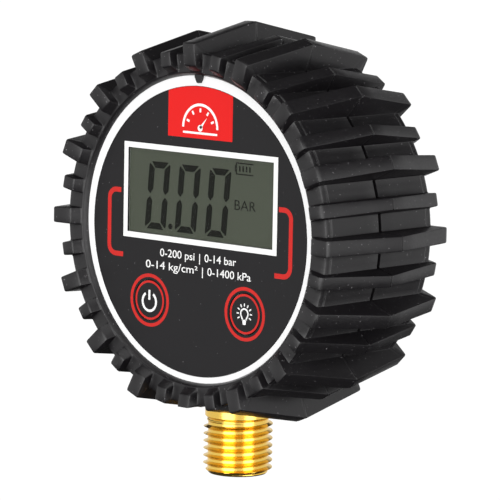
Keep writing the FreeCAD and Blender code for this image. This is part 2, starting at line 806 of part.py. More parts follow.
def cells():
    """Two AAA cells side by side, head to tail."""
    for name, side in (("cell_upper", 1), ("cell_lower", -1)):
        height = f"axis_height + {side} * cell_z"
        start = "-(cell_length + nub_length) / 2"
        can_start = start if side > 0 else f"{start} + nub_length"
        can = rod((can_start, "cell_y", height), "cell_radius", "cell_length", ALONG_X)
        nub_start = f"{start} + cell_length" if side > 0 else start
        nub = rod((nub_start, "cell_y", height), "nub_radius", "nub_length", ALONG_X)
        named(name, fused(can, nub))


def contacts():
    """Sheet contacts at both ends of the bay and a coil spring at each negative end."""
    thick, tall, wide = "plate_thick", "contact_tall", "2 * contact_half"
    floor = "bay_floor + contact_lift"
    plates = [block(("bay_half_x - plate_thick", floor, f"axis_height + {side} * cell_z - contact_half"),
                    (thick, tall, wide)) for side in (-1, 1)]
    plates.append(block(("-bay_half_x", floor, "axis_height - cell_z - contact_half"),
                        (thick, tall, f"2 * cell_z + {wide}")))
    named("contact_plates", kept_apart(*plates))
    end = "(cell_length + nub_length) / 2"
    length = f"bay_half_x - plate_thick - {end}"
    springs = []
    for side in (-1, 1):
        height = f"axis_height - {side} * cell_z"
        foot = f"{side} * (bay_half_x - plate_thick)"
        turn = Rotation(Vector(0, 1, 0), -90 * side)
        outer, inner = (primitive("Cone", (foot, "cell_y", height), turn, Radius1=f"spring_foot - {less}",
                                  Radius2=f"spring_tip - {less}", Height=length)
                        for less in ("0", "spring_wire"))
        springs.append(cut(outer, inner))
    named("contact_springs", kept_apart(*springs))


def battery_leads():
    """Two wires from the contacts, through the bay's wall and round it to the board."""
    x = value("bay_half_x")
    back = value("board_front + board_thick")
    wires = []
    for side in (-1, 1):
        z = value("axis_height") + side * value("lead_gap")
        level = value("lead_level")
        route = [Vector(x - 0.4, back, z), Vector(x - 0.4, back + 1.6, z), Vector(x + 2.05, back + 3.8, z),
                 Vector(x + 2.05, level, z), Vector(x, level, z)]
        wires.append(tube(route, value("battery_lead_radius")))
    wire_group("battery_leads", wires)


def battery_door():
    """Door plate with its corners on a circle, and a tongue for the screw."""
    body = new_body("battery_door")
    step = "case_back - door_thick"
    outline = bay_outline("door_half_x", "door_half_z", "door_round")
    pad_between(body, lambda sketch: draw_outline(sketch, outline), step, "case_back")
    doc.recompute()
    tongue = rectangle("0", "tongue_end / 2", "2 * tongue_half", "-tongue_end")
    pad_between(body, tongue, step, "case_back")
    doc.recompute()
    pocket_between(body, circle("0", "door_screw_z", "door_hole"), step, "case_back")
    sunk = circle("0", "door_screw_z", "door_head_hole")
    pocket_between(body, sunk, "case_back - door_head_sink", "case_back")


def door_screw():
    """Small screw through the door's tongue into the rear housing."""
    height = "axis_height + door_screw_z"
    seat = "case_back - door_head_sink"
    shank = rod(("0", "door_screw_tip", height), "pilot_radius", f"{seat} - door_screw_tip")
    head = rod(("0", seat, height), "door_head", "door_head_thick")
    recess = cross_recess("0", "case_back", height, "door_slot_wide", "door_slot_long", "door_slot_deep")
    named("door_screw", cut(fused(shank, head), *recess))


# ---------------------------------------------------------------- build, check and write

for build in (rubber_boot, front_housing, rear_housing, case_screws, label_overlay, display, buttons,
              circuit_board, board_fittings, brass_stem, sensor, cells, contacts, battery_leads,
              battery_door, door_screw):
    build()
doc.recompute()

for item in doc.Objects:
    if {"Invalid", "Error"} & set(item.State):
        raise RuntimeError(f"{item.Label} failed: {item.State}")
for part in PARTS:
    if part.Shape.isNull() or not part.Shape.isValid():
        raise RuntimeError(f"{part.Label} has no valid shape")

os.makedirs("parts", exist_ok=True)
for part in PARTS:
    part.Shape.exportStep(f"parts/{part.Label}.step")
    box = part.Shape.BoundBox
    spans = (("X", box.XMin, box.XMax), ("Y", box.YMin, box.YMax), ("Z", box.ZMin, box.ZMax))
    reach = " ".join(f"{axis} {low:.2f}..{high:.2f}" for axis, low, high in spans)
    print(f"{part.Label}: {len(part.Shape.Solids)} solids, {part.Shape.Volume:.1f} mm3, {reach}")
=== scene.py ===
"""Digital tire pressure gauge in a tyre-shaped rubber boot.

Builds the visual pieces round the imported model: the boot, the stem, the face print, the buttons, the display's
segments, the cells, the springs and the door's ribs. Then come the finishes of the pieces that stay, the lights
and the camera. Numbers in the shapes are millimetres, and add_piece turns them into metres.
and the camera. Numbers in the shapes are millimetres, and new_mesh turns them into metres.
"""

import math

import bmesh
import bpy
import numpy as np
from bpy.props import FloatProperty, FloatVectorProperty, PointerProperty
from mathutils import Matrix, Vector


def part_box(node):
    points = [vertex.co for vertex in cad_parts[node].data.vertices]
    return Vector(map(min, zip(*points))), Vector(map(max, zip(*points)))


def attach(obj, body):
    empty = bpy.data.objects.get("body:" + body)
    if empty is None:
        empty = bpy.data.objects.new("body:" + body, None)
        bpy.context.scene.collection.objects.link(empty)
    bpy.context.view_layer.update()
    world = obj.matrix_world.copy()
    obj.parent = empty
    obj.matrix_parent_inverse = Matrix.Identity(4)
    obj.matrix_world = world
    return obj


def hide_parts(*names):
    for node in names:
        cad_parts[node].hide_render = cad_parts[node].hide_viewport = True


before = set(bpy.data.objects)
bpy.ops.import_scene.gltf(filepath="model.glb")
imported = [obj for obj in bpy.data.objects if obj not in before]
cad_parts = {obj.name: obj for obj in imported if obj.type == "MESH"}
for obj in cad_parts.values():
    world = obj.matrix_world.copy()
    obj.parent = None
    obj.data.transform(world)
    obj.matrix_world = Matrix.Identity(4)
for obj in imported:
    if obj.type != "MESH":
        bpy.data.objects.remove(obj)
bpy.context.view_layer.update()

bl_info = {
    "name": "Tire pressure gauge",
    "version": (1, 0, 0),
    "blender": (4, 5, 0),
    "location": "3D View > Sidebar > Gauge",
    "description": "Builds a digital tire pressure gauge in a rubber boot round its packed model",
    "category": "Add Mesh",
}

MM = 0.001


def node_box(node):
    """Lowest and highest corner of a CAD node, in millimetres."""
    low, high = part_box(node)
    return np.array(low) / MM, np.array(high) / MM


LABEL_LOW, LABEL_HIGH = node_box("label_overlay")
BOOT_LOW, BOOT_HIGH = node_box("rubber_boot")
WINDOW_LOW, WINDOW_HIGH = node_box("display_lens")
PANEL_FRONT = node_box("display_panel")[0][1]
FACE = LABEL_LOW[1]  # plane of the face, across Y
LABEL_RADIUS = (LABEL_HIGH[0] - LABEL_LOW[0]) / 2
LABEL_MIDDLE = (LABEL_LOW[2] + LABEL_HIGH[2]) / 2
CASE_BACK = node_box("rear_housing")[1][1]
CREASE = (BOOT_LOW[1] + BOOT_HIGH[1]) / 2  # middle plane of the boot's tread
DIAL_AXIS = BOOT_HIGH[2] - BOOT_HIGH[0]  # height of the dial's axis


# ---- settings

def length(name, text, number):
    """A length of the user's, shown in the scene's units and kept in metres."""
    return FloatProperty(name=name, description=text, default=number * MM, min=0.0, precision=5,
                         unit="LENGTH", subtype="DISTANCE")


def angle(name, text, degrees):
    """An angle of the user's."""
    return FloatProperty(name=name, description=text, default=math.radians(degrees), subtype="ANGLE")


def colour(name, text, rgb):
    """A colour of the user's."""
    return FloatVectorProperty(name=name, description=text, size=3, min=0.0, max=1.0, default=rgb,
                               subtype="COLOR")


class BootSettings(bpy.types.PropertyGroup):
    """Sizes and colour of the rubber boot."""
    lug_foot: length("Lug foot", "Width of a tall lug where it leaves the base", 3.3)
    lug_top: length("Lug top", "Width of a tall lug at its crest", 2.8)
    low_foot: length("Low lug foot", "Width of a low lug where it leaves the base", 2.8)
    low_top: length("Low lug top", "Width of a low lug at its crest", 2.25)
    edge: length("Edge", "Rounding of the lugs' upper edges", 0.28)
    fillet: length("Fillet", "Rounding where a lug meets the base", 0.3)
    rubber: colour("Rubber", "Colour of the boot", (0.0064, 0.0055, 0.0066))


class FaceSettings(bpy.types.PropertyGroup):
    """Colours of the printed face and of the display."""
    ground: colour("Ground", "Colour of the label", (0.0070, 0.0062, 0.0074))
    red: colour("Red", "Colour of the brackets and of the rings", (0.57, 0.016, 0.012))
    badge: colour("Badge", "Colour of the badge", (0.73, 0.005, 0.004))
    white: colour("White", "Colour of the white print", (0.90, 0.90, 0.89))
    glass: colour("Display", "Colour of the display's ground", (0.064, 0.073, 0.053))
    segment: colour("Segments", "Colour of a segment that is on", (0.006, 0.0065, 0.0045))
    line: length("Line", "Width of the brackets' line", 0.95)
    print_thick: length("Print", "How far the print stands above the label", 0.02)


class MetalSettings(bpy.types.PropertyGroup):
    """Colours of the metals."""
    brass: colour("Brass", "Colour of the stem", (1.0, 0.66, 0.13))
    steel: colour("Steel", "Colour of the screws", (0.55, 0.55, 0.55))


class StageSettings(bpy.types.PropertyGroup):
    """Where the camera stands, and how bright the lights are."""
    azimuth: angle("Azimuth", "Camera's angle round the gauge from the dial's front", 42.433)
    elevation: angle("Elevation", "Camera's angle above the horizon", 7.215)
    roll: angle("Roll", "Camera's turn about its own line of sight", 1.033)
    distance: length("Distance", "Camera's distance from the point that it looks at", 668.16)
    lens: FloatProperty(name="Lens", description="Focal length for a 36 mm sensor", default=259.08,
                        subtype="DISTANCE_CAMERA")
    power: FloatProperty(name="Light", description="Power of the main light", default=12.0, min=0.0,
                         unit="POWER", subtype="POWER")


class GaugeSettings(bpy.types.PropertyGroup):
    """All the settings of the gauge."""
    boot: PointerProperty(type=BootSettings)
    face: PointerProperty(type=FaceSettings)
    metal: PointerProperty(type=MetalSettings)
    stage: PointerProperty(type=StageSettings)


# ---- surfaces

def grid_faces(rows, columns, wrap_rows=False, wrap_columns=False):
    """Quads of a grid: each joins a point to the next in its row and to the two beside them in the next row."""
    ids = np.arange(rows * columns).reshape(rows, columns)
    if wrap_rows:
        ids = np.vstack([ids, ids[:1]])
    if wrap_columns:
        ids = np.hstack([ids, ids[:, :1]])
    return np.stack([ids[:-1, :-1], ids[1:, :-1], ids[1:, 1:], ids[:-1, 1:]], axis=-1).reshape(-1, 4)


def eased(corners, reach, steps=4):
    """Outline with its corners eased. A corner C gives way to the curve (1-u)^2 A + 2u(1-u) C + u^2 B, where A
    and B lie `reach` from C along its two sides and u runs from 0 to 1."""
    corners = np.asarray(corners, float)
    curve = []
    sides = [np.roll(corners, 1, axis=0) - corners, np.roll(corners, -1, axis=0) - corners]
    for side in sides:
        span = np.maximum(np.linalg.norm(side, axis=1, keepdims=True), 1e-9)
        step = np.minimum(np.broadcast_to(reach, len(corners))[:, None], 0.48 * span)
        curve.append((corners + side / span * step)[:, None])
    u = np.linspace(0, 1, steps)[None, :, None]
    bent = (1 - u) ** 2 * curve[0] + 2 * u * (1 - u) * corners[:, None] + u ** 2 * curve[1]
    return bent.reshape(-1, 2)


def turned(profile, steps, axis="Y", centre=(0, 0, 0), hollow=False):
    """Surface of revolution: point k of the profile, (radius, place along the axis), becomes the circle of that
    radius at that place. A hollow one closes its profile on itself, and a solid one ends on the axis."""
    profile = np.asarray(profile, float)
    angle = np.arange(steps) * (2 * math.pi / steps)
    across = profile[:, :1] * np.cos(angle)
    up = profile[:, :1] * np.sin(angle)
    along = profile[:, 1:] + 0 * angle
    order = {"X": (along, across, up), "Y": (across, along, up), "Z": (across, up, along)}[axis]
    points = np.stack(order, axis=-1).reshape(-1, 3) + np.asarray(centre, float)
    return points, [grid_faces(len(profile), steps, hollow, True)]


def on_face(points, front):
    """Points (x, z) about the label's centre, put in the plane Y = front."""
    points = np.asarray(points, float)
    return np.stack([points[:, 0], np.full(len(points), front), points[:, 1] + LABEL_MIDDLE], axis=-1)


def rectangle(left, low, right, high):
    """The four corners of a rectangle, counterclockwise from its lower left."""
    return np.array([(left, low), (right, low), (right, high), (left, high)])


def prism(first, second):
    """Closed solid between two like outlines in space: a wall that joins them point for point, and two lids."""
    count = len(first)
    lids = np.stack([np.arange(count), np.arange(2 * count)[:count - 1:-1]])
    return np.vstack([first, second]), [grid_faces(2, count, False, True), lids]


def plate(outline, front, back):
    """Flat plate: the outline in the front plane and in the back plane."""
    return prism(on_face(outline, front), on_face(outline, back))


def slab(outline, low, high):
    """Level slab: the outline (x, y) at its low height and at its high height."""
    return prism(*(np.column_stack([outline, np.full(len(outline), level)]) for level in (low, high)))


def pin(radius, low, high):
    """Solid cylinder about the Z axis, which cuts a round hole."""
    return turned([(0, low), (radius, low), (radius, high), (0, high)], 96, "Z")


def strip(path, width, front, back, closed=False):
    """Flat strip of one width: each point of the path moves half the width to either side along the mean of its
    two edges' normals, lengthened by 1 / (1 + their dot product), at the front and at the back."""
    path = np.asarray(path, float)
    edge = np.diff(np.vstack([path, path[:1]]) if closed else path, axis=0)
    normal = np.stack([-edge[:, 1], edge[:, 0]], axis=-1) / np.linalg.norm(edge, axis=1, keepdims=True)
    if closed:
        before, after = np.roll(normal, 1, axis=0), normal
    else:
        before, after = np.vstack([normal[:1], normal]), np.vstack([normal, normal[-1:]])
    mitre = (before + after) / (1 + np.sum(before * after, axis=1, keepdims=True)) * width / 2
    rings = np.stack([on_face(path + mitre, front), on_face(path - mitre, front),
                      on_face(path - mitre, back), on_face(path + mitre, back)], axis=1)
    count = len(path)
    faces = [grid_faces(count, 4, closed, True)]
    if not closed:
        faces.append(np.array([[3, 2, 1, 0], [4 * count - 4, 4 * count - 3, 4 * count - 2, 4 * count - 1]]))
    return rings.reshape(-1, 3), faces


def arc(centre, radius, start, end, steps):
    """Points on a circle from one angle to another, in degrees from the right, counterclockwise."""
    angle = np.radians(np.linspace(start, end, steps))
    return np.stack([centre[0] + radius * np.cos(angle), centre[1] + radius * np.sin(angle)], axis=-1)


def joined(shapes):
    """Several shapes as one: the points follow each other, and each face's numbers move on by what went before."""
    starts = np.cumsum([0] + [len(points) for points, _ in shapes])
    faces = [block + start for (_, blocks), start in zip(shapes, starts) for block in blocks]
    return np.vstack([points for points, _ in shapes]), faces


def close_seams(mesh, gap):
    """Merge points that lie within a gap, drop what has shrunk to nothing, and turn the faces outwards."""
    work = bmesh.new()
    work.from_mesh(mesh)
    bmesh.ops.remove_doubles(work, verts=work.verts, dist=gap)
    bmesh.ops.dissolve_degenerate(work, edges=work.edges, dist=1e-7)
    bmesh.ops.recalc_face_normals(work, faces=work.faces)
    work.to_mesh(mesh)
    work.free()


def new_mesh(name, shape, sharp=35.0):
    """Mesh in metres from a shape in millimetres: points that coincide are merged, faces point outwards, and
    edges that turn by more than `sharp` degrees stay crisp."""
    points, blocks = shape
    mesh = bpy.data.meshes.new(name)
    mesh.from_pydata((points * MM).tolist(), [], [face for block in blocks for face in block.tolist()])
    close_seams(mesh, 2e-7)
    mesh.shade_smooth()
    mesh.set_sharp_from_angle(angle=math.radians(sharp))
    return mesh


def new_object(name, data):
    """New object in the scene, for a mesh, a curve, a light or a camera."""
    thing = bpy.data.objects.new(name, data)
    bpy.context.scene.collection.objects.link(thing)
    return thing


def add_piece(name, shape, body, look, replaced=(), sharp=35.0):
    """New piece that rides on a CAD body, with its finish and the CAD nodes that it stands for."""
    mesh = shape if isinstance(shape, bpy.types.Mesh) else new_mesh(name, shape, sharp)
    piece = new_object(name, mesh)
    mesh.materials.clear()
    mesh.materials.append(finish(look))
    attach(piece, body)
    if replaced:
        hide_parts(*replaced)


def finish_nodes(**looks):
    """Give CAD nodes their finishes, on their objects' own slots. Each node's name goes with its finish's."""
    for node, look in looks.items():
        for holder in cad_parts[node].material_slots:
            holder.link = "OBJECT"
            holder.material = finish(look)


def boolean_mesh(name, base, tools, sharp):
    """Mesh of a shape after tools, given as (operation, shape), have been joined to it or cut from it."""
    helpers = [new_object(f"{name}_{index}", new_mesh(f"{name}_{index}", shape))
               for index, shape in enumerate([base] + [shape for _, shape in tools])]
    for helper, (operation, _) in zip(helpers[1:], tools):
        step = helpers[0].modifiers.new(operation, "BOOLEAN")
        step.operation = operation
        step.solver = "EXACT"
        step.object = helper
    view = bpy.context.evaluated_depsgraph_get()
    mesh = bpy.data.meshes.new_from_object(helpers[0].evaluated_get(view))
    mesh.name = name
    for helper in helpers:
        bpy.data.objects.remove(helper)
    mesh.shade_smooth()
    mesh.set_sharp_from_angle(angle=math.radians(sharp))
    return mesh


# ---- finishes

def wire(tree, kind, **inputs):
    """Add a shader node. A socket among the inputs is linked, and any other value is set."""
    node = tree.nodes.new("ShaderNode" + kind)
    for name, value in inputs.items():
        socket = node.inputs[name.replace("_", " ")]
        if isinstance(value, bpy.types.NodeSocket):
            tree.links.new(value, socket)
        else:
            socket.default_value = value
    return node


def blended(tree, factor, low, high):
    """Colour that goes from low to high as the factor goes from 0 to 1."""
    mix = tree.nodes.new("ShaderNodeMix")
    mix.data_type = "RGBA"
    tree.links.new(factor, mix.inputs[0])
    for socket, value in zip(mix.inputs[6:8], (low, high)):
        if isinstance(value, bpy.types.NodeSocket):
            tree.links.new(value, socket)
        else:
            socket.default_value = (*value, 1.0)
    return mix.outputs[2]


def stepped(tree, value, low, high):
    """0 under low, 1 over high, and even in between."""
    return wire(tree, "MapRange", Value=value, From_Min=low, From_Max=high).outputs[0]


def noise(tree, place, scale, detail=3.0):
    """Fractal noise of so many patches to the metre."""
    return wire(tree, "TexNoise", Vector=place, Scale=scale, Detail=detail).outputs[0]


def new_finish(name, rgb, rough, patch=60.0, shade=0.92, grain=2500.0, bump=0.05, depth=0.03, stretch=(1, 1, 1),
               extra=None, **sockets):
    """Material of one substance: broad patches shade its colour, and fine grain moves its roughness between two
    values and lifts its surface by up to `depth` millimetres. `extra` may add marks of its own to the colour."""
    material = bpy.data.materials.new(name)
    material.use_nodes = True
    tree = material.node_tree
    tree.nodes.clear()
    place = wire(tree, "TexCoord").outputs["Object"]
    drawn = wire(tree, "Mapping", Vector=place, Scale=stretch).outputs[0]
    shaded = stepped(tree, noise(tree, place, patch), 0.3, 0.7)
    tone = blended(tree, shaded, [channel * shade for channel in rgb], rgb)
    if extra:
        tone = extra(tree, place, tone)
    fine = noise(tree, drawn, grain)
    roughness = wire(tree, "MapRange", Value=fine, From_Min=0.3, From_Max=0.7, To_Min=rough[0],
                     To_Max=rough[1]).outputs[0]
    lifted = wire(tree, "Bump", Height=fine, Strength=bump, Distance=depth * MM)
    shader = wire(tree, "BsdfPrincipled", Base_Color=tone, Roughness=roughness, Normal=lifted.outputs[0],
                  **sockets)
    wire(tree, "OutputMaterial", Surface=shader.outputs[0])
    return material


def marks(scale, detail, low, high, rgb):
    """Marks of one colour where a noise is highest, to give to new_finish as its `extra`."""
    return lambda tree, place, tone: blended(
        tree, stepped(tree, noise(tree, place, scale, detail), low, high), tone, rgb)


DUST = marks(2600.0, 1.0, 0.745, 0.77, (0.20, 0.19, 0.20))  # tiny pale specks
LIGHT_DUST = marks(2400.0, 1.0, 0.79, 0.805, (0.14, 0.13, 0.14))  # fewer and dimmer specks
TARNISH = marks(260.0, 5.0, 0.60, 0.85, (0.85, 0.45, 0.04))  # warm brown, as on handled brass


def copper_tracks(tree, place, tone):
    """Paler green lines where tracks run under the mask: a wave bent by noise."""
    tracks = wire(tree, "TexWave", Vector=place, Scale=190.0, Distortion=7.0, Detail=1.0, Detail_Scale=0.6)
    return blended(tree, stepped(tree, tracks.outputs["Fac"], 0.80, 0.86), tone, (0.05, 0.30, 0.12))


def jacket_band(tree, place, tone, side):
    """A copper-coloured band at the positive end of a cell, along X."""
    along = wire(tree, "SeparateXYZ", Vector=place).outputs[0]
    band = stepped(tree, along, side * 12.0 * MM, side * 12.1 * MM)
    return blended(tree, band, tone, (0.55, 0.26, 0.10))


PRINT = dict(rough=(0.34, 0.44), patch=90.0, shade=0.95, grain=3000.0, depth=0.01, Specular_IOR_Level=0.25)


def outer_finishes(boot, face):
    """The boot, the case and the buttons."""
    return {
        "rubber": new_finish("boot_rubber", boot.rubber, (0.31, 0.43), patch=55.0, shade=0.82, grain=2200.0,
                             bump=0.12, extra=DUST, Specular_IOR_Level=0.46),
        "white_case": new_finish("glossy_white_case", (0.90, 0.90, 0.90), (0.14, 0.20), bump=0.04),
        "black_case": new_finish("textured_black_case", (0.022, 0.022, 0.023), (0.48, 0.62), shade=0.85,
                                 grain=2600.0, bump=0.5, depth=0.06, extra=LIGHT_DUST),
        "button": new_finish("satin_button", face.ground, (0.34, 0.44), patch=90.0, grain=3200.0,
                             bump=0.08, depth=0.01, Specular_IOR_Level=0.27),
    }


def face_finishes(face):
    """The label and its print, and the display behind its window."""
    return {
        "label": new_finish("satin_label", face.ground, (0.36, 0.46), patch=70.0, shade=0.90, grain=3200.0,
                            bump=0.10, depth=0.01, extra=LIGHT_DUST, Specular_IOR_Level=0.27),
        "white_print": new_finish("white_print", face.white, **PRINT),
        "red_print": new_finish("red_print", face.red, **PRINT),
        "badge_print": new_finish("badge_print", face.badge, **PRINT),
        "lens": new_finish("clear_window", (0.06, 0.07, 0.06), (0.03, 0.06), patch=30.0, shade=0.95, grain=900.0,
                           bump=0.02, depth=0.01, Alpha=0.02, IOR=1.49),
        "glass": new_finish("display_ground", face.glass, (0.30, 0.38), patch=22.0, shade=0.93, grain=2600.0,
                            bump=0.03, depth=0.01, Specular_IOR_Level=0.15),
        "segment": new_finish("display_segment", face.segment, (0.30, 0.36), bump=0.02,
                              Specular_IOR_Level=0.10),
        "light_guide": new_finish("milky_light_guide", (0.80, 0.83, 0.80), (0.25, 0.32)),
    }


def inner_finishes():
    """Plastics, rubbers, the board and the wires inside the case."""
    return {
        "natural": new_finish("natural_plastic", (0.66, 0.66, 0.62), (0.38, 0.48), bump=0.10),
        "seal": new_finish("seal_rubber", (0.020, 0.020, 0.020), (0.40, 0.55), bump=0.15),
        "connector": new_finish("striped_connector", (0.30, 0.30, 0.31), (0.50, 0.60), patch=900.0, shade=0.4,
                                bump=0.1, stretch=(6, 1, 1)),
        "board": new_finish("solder_mask", (0.012, 0.13, 0.045), (0.28, 0.36), extra=copper_tracks),
        "epoxy": new_finish("black_epoxy", (0.018, 0.018, 0.020), (0.22, 0.34)),
        "switch": new_finish("switch_plastic", (0.035, 0.035, 0.038), (0.34, 0.44), bump=0.08),
        "wire": new_finish("red_wire_jacket", (0.45, 0.02, 0.015), (0.32, 0.42), bump=0.08),
    }


def metal_finishes(metal):
    """Brass, steels and nickel. The grain is stretched along the marks that turning left."""
    return {
        "brass": new_finish("turned_brass", metal.brass, (0.16, 0.28), patch=90.0, shade=0.88, grain=900.0,
                            bump=0.12, depth=0.02, stretch=(1, 1, 12), extra=TARNISH, Metallic=1.0),
        "steel": new_finish("plated_steel", metal.steel, (0.24, 0.36), patch=200.0, shade=0.85, grain=2600.0,
                            bump=0.12, depth=0.02, stretch=(1, 8, 1), Metallic=1.0),
        "can": new_finish("stainless_can", (0.60, 0.60, 0.61), (0.20, 0.30), patch=200.0, shade=0.9,
                          grain=2000.0, bump=0.1, depth=0.02, stretch=(1, 1, 10), Metallic=1.0),
        "nickel": new_finish("bright_nickel", (0.72, 0.70, 0.66), (0.12, 0.22), patch=150.0, shade=0.9,
                             grain=1800.0, bump=0.08, depth=0.02, Metallic=1.0),
    }


def cell_finish(name, side):
    """Jacket of a cell, with its band at the positive end."""
    return new_finish(name, (0.02, 0.025, 0.035), (0.20, 0.28), bump=0.03,
                      extra=lambda *parts: jacket_band(*parts, side))


FINISHES = {}


def finish(look):
    """The finish of that name. All of them are made once, at the first call."""
    if not FINISHES:
        settings = bpy.context.scene.gauge
        FINISHES.update(outer_finishes(settings.boot, settings.face))
        FINISHES.update(face_finishes(settings.face))
        FINISHES.update(inner_finishes())
        FINISHES.update(metal_finishes(settings.metal))
        FINISHES.update(cell_upper=cell_finish("cell_jacket_upper", 1),
                        cell_lower=cell_finish("cell_jacket_lower", -1))
    return FINISHES[look]


# ---- boot

LUG_PAIRS = 16
WALL = 30.2  # inner radius of the boot
BASE_HALF = 14.9  # from the crease to the boot's flat front
STUB = 33.45  # radius that the lug over the stem is cut down to
STEM_GAP = 7.2  # radius of the opening for the stem

# The index tab at the top, about the dial's axis.
TAB = np.array([(-0.95, 29.4), (-0.95, 28.75), (-0.4, 27.7), (0.4, 27.7), (0.95, 28.75), (0.95, 29.4)])

# The front half of the section, from the lip to the crease, as (radius, place from the crease) on the base, and
# how far the outline is eased at that corner.
BASE_FRONT = np.array([
    (WALL, -13.70, 0.05), (29.05, -13.70, 0.05), (29.6, -BASE_HALF, 0.15), (30.4, -BASE_HALF, 0.2),
    (31.4, -BASE_HALF, 0.3), (33.3, -BASE_HALF, 0.45), (33.32, -13.75, 0.05), (33.14, -13.6, 0.06),
    (33.34, -13.4, 0.06), (33.42, -13.1, 0.08), (33.4, -9.0, 0.5), (33.4, -4.5, 0.5), (33.4, -0.4, 0.06),
    (32.6, -0.38, 0.06)])


def lug_front(corner, half, crest):
    """The same corners on a lug: its foot and front face, then the straight line from its corner to its crest,
    which ends in a fine V at the crease."""
    foot = [(WALL, -13.70), (29.05, -13.70), (29.6, -BASE_HALF), (29.95, -14.98), (31.0, -16.65)]
    along = np.array([0.0, 0.06, 0.08, 0.10, 0.12, 0.40, 0.70, 0.987])
    slope = np.stack([corner + (crest - corner) * along, -half * (1 - along)], axis=-1)
    return np.vstack([foot, slope, [(crest - 0.3, -0.03)]])


def eased_section(front):
    """A whole section, closed and eased at its corners as the base is: the front half, then its mirror image
    with the back lip's own corners."""
    back = front[::-1] * (1, -1)
    back[-3:] = [(27.7, BASE_HALF), (27.2, CASE_BACK - CREASE), (WALL, CASE_BACK - CREASE)]
    reach = np.concatenate([BASE_FRONT[:, 2], BASE_FRONT[::-1, 2]])
    return eased(np.vstack([front, back]), reach, 3)


def lug_columns(base, lug, foot, top, edge, fillet):
    """One lug about its own middle plane, as rows of (across, radius, place from the crease). A column's point
    goes from the base's surface at its distance across, where the radius is the root of r^2 - across^2, towards
    the lug's section by its share of the height. The shares and the distances follow a quarter circle at the
    foot and another at the top edge."""
    rise = np.linalg.norm(lug - base, axis=1)[:, None]
    tight = np.minimum(1.0, rise / (fillet + edge + 0.05))
    quarter = np.radians([0.0, 45.0, 90.0])
    near_foot = fillet * (1 - np.cos(quarter)) * tight
    near_top = rise - edge * (1 - np.sin(quarter)) * tight
    height = np.hstack([near_foot, near_top, rise])
    narrow = (foot - top) / 2 * np.minimum(1.0, rise / rise.max())
    across = np.hstack([foot / 2 + fillet * (1 - np.sin(quarter)) * tight,
                        foot / 2 - narrow - edge * (1 - np.cos(quarter)) * tight, 0 * rise])
    across = np.hstack([-across, across[:, -2::-1]])
    height = np.hstack([height, height[:, -2::-1]])
    share = np.where(rise > 1e-6, height / np.maximum(rise, 1e-6), 0.0)
    ground = np.sqrt(base[:, :1] ** 2 - across ** 2)
    radius = ground + (lug[:, :1] - ground) * share
    along = base[:, 1:] + (lug[:, 1:] - base[:, 1:]) * share
    return np.stack([across, radius, along], axis=-1)


def boot_shape(settings):
    """The tread as one closed grid. Rows follow the section and columns go round the dial's axis: a tall lug, a
    stretch of base, a low lug, a stretch of base, and so on. On the base, angles are shared out evenly."""
    tall_foot, tall_top, low_foot, low_top, edge, fillet = (
        getattr(settings, name) / MM for name in ("lug_foot", "lug_top", "low_foot", "low_top", "edge", "fillet"))
    base = eased_section(BASE_FRONT[:, :2])
    tall = eased_section(lug_front(corner=35.3, half=17.2, crest=38.9))
    low = eased_section(lug_front(corner=33.9, half=16.62, crest=37.1))
    kinds = {
        "tall": lug_columns(base, tall, tall_foot, tall_top, edge, fillet),
        "low": lug_columns(base, low, low_foot, low_top, edge, fillet),
        "stub": lug_columns(base, np.minimum(tall, (STUB, np.inf)), tall_foot, tall_top, edge, fillet),
    }
    order = ["tall", "low"] * LUG_PAIRS
    order[LUG_PAIRS] = "stub"  # over the stem
    pitch = math.pi / LUG_PAIRS
    blocks = []
    for index, kind in enumerate(order):
        lug, after = kinds[kind], kinds[order[(index + 1) % len(order)]]
        turn = index * pitch
        across, radius, along = lug[..., 0], lug[..., 1], lug[..., 2]
        x = across * math.cos(turn) + radius * math.sin(turn)
        z = radius * math.cos(turn) - across * math.sin(turn)
        blocks.append(np.stack([x, along, z], axis=-1))
        start = turn + np.arctan2(across[:, -1:], radius[:, -1:])
        end = turn + pitch + np.arctan2(after[:, :1, 0], after[:, :1, 1])
        angle = start + (end - start) * np.array([1 / 3, 2 / 3])
        flat = base[:, :1]
        blocks.append(np.stack([flat * np.sin(angle), base[:, 1:] + 0 * angle, flat * np.cos(angle)], axis=-1))
    points = np.concatenate(blocks, axis=1)
    rows, columns = points.shape[:2]
    points = points.reshape(-1, 3) + (0, CREASE, DIAL_AXIS)
    return points, [grid_faces(rows, columns, True, True)]


class GAUGE_OT_boot(bpy.types.Operator):
    """Build the rubber boot with its lugs, its index tab and its opening for the stem"""
    bl_idname = "gauge.boot"
    bl_label = "Rubber boot"

    def execute(self, context):
        """Make the tread, join the tab and cut the opening."""
        tab = plate(eased(TAB + (0, DIAL_AXIS - LABEL_MIDDLE), 0.15, 3), FACE - 0.55, FACE + 0.3)
        opening = pin(STEM_GAP, -2, DIAL_AXIS - 20)
        mesh = boolean_mesh("boot", boot_shape(context.scene.gauge.boot),
                            [("UNION", tab), ("DIFFERENCE", opening)], 38.0)
        add_piece("boot", mesh, "gauge", "rubber", ["rubber_boot"])
        return {"FINISHED"}


# ---- stem

THREAD = dict(root=5.80, crest=6.65, pitch=1.411, start=0.3, end=10.6)
BORE, POCKET, COLLAR, HEAD = 1.75, 5.5, 6.4, 7.0  # radii
BORE_END, SHOULDER = 26.5, 22.0  # heights
FLANGE_HALF, FLANGE_LOW, FLANGE_HIGH, FLANGE_HOLE = 8.0, 21.0, 24.0, 6.2
STEM_STEPS = 144
ROWS_A_TURN = 24


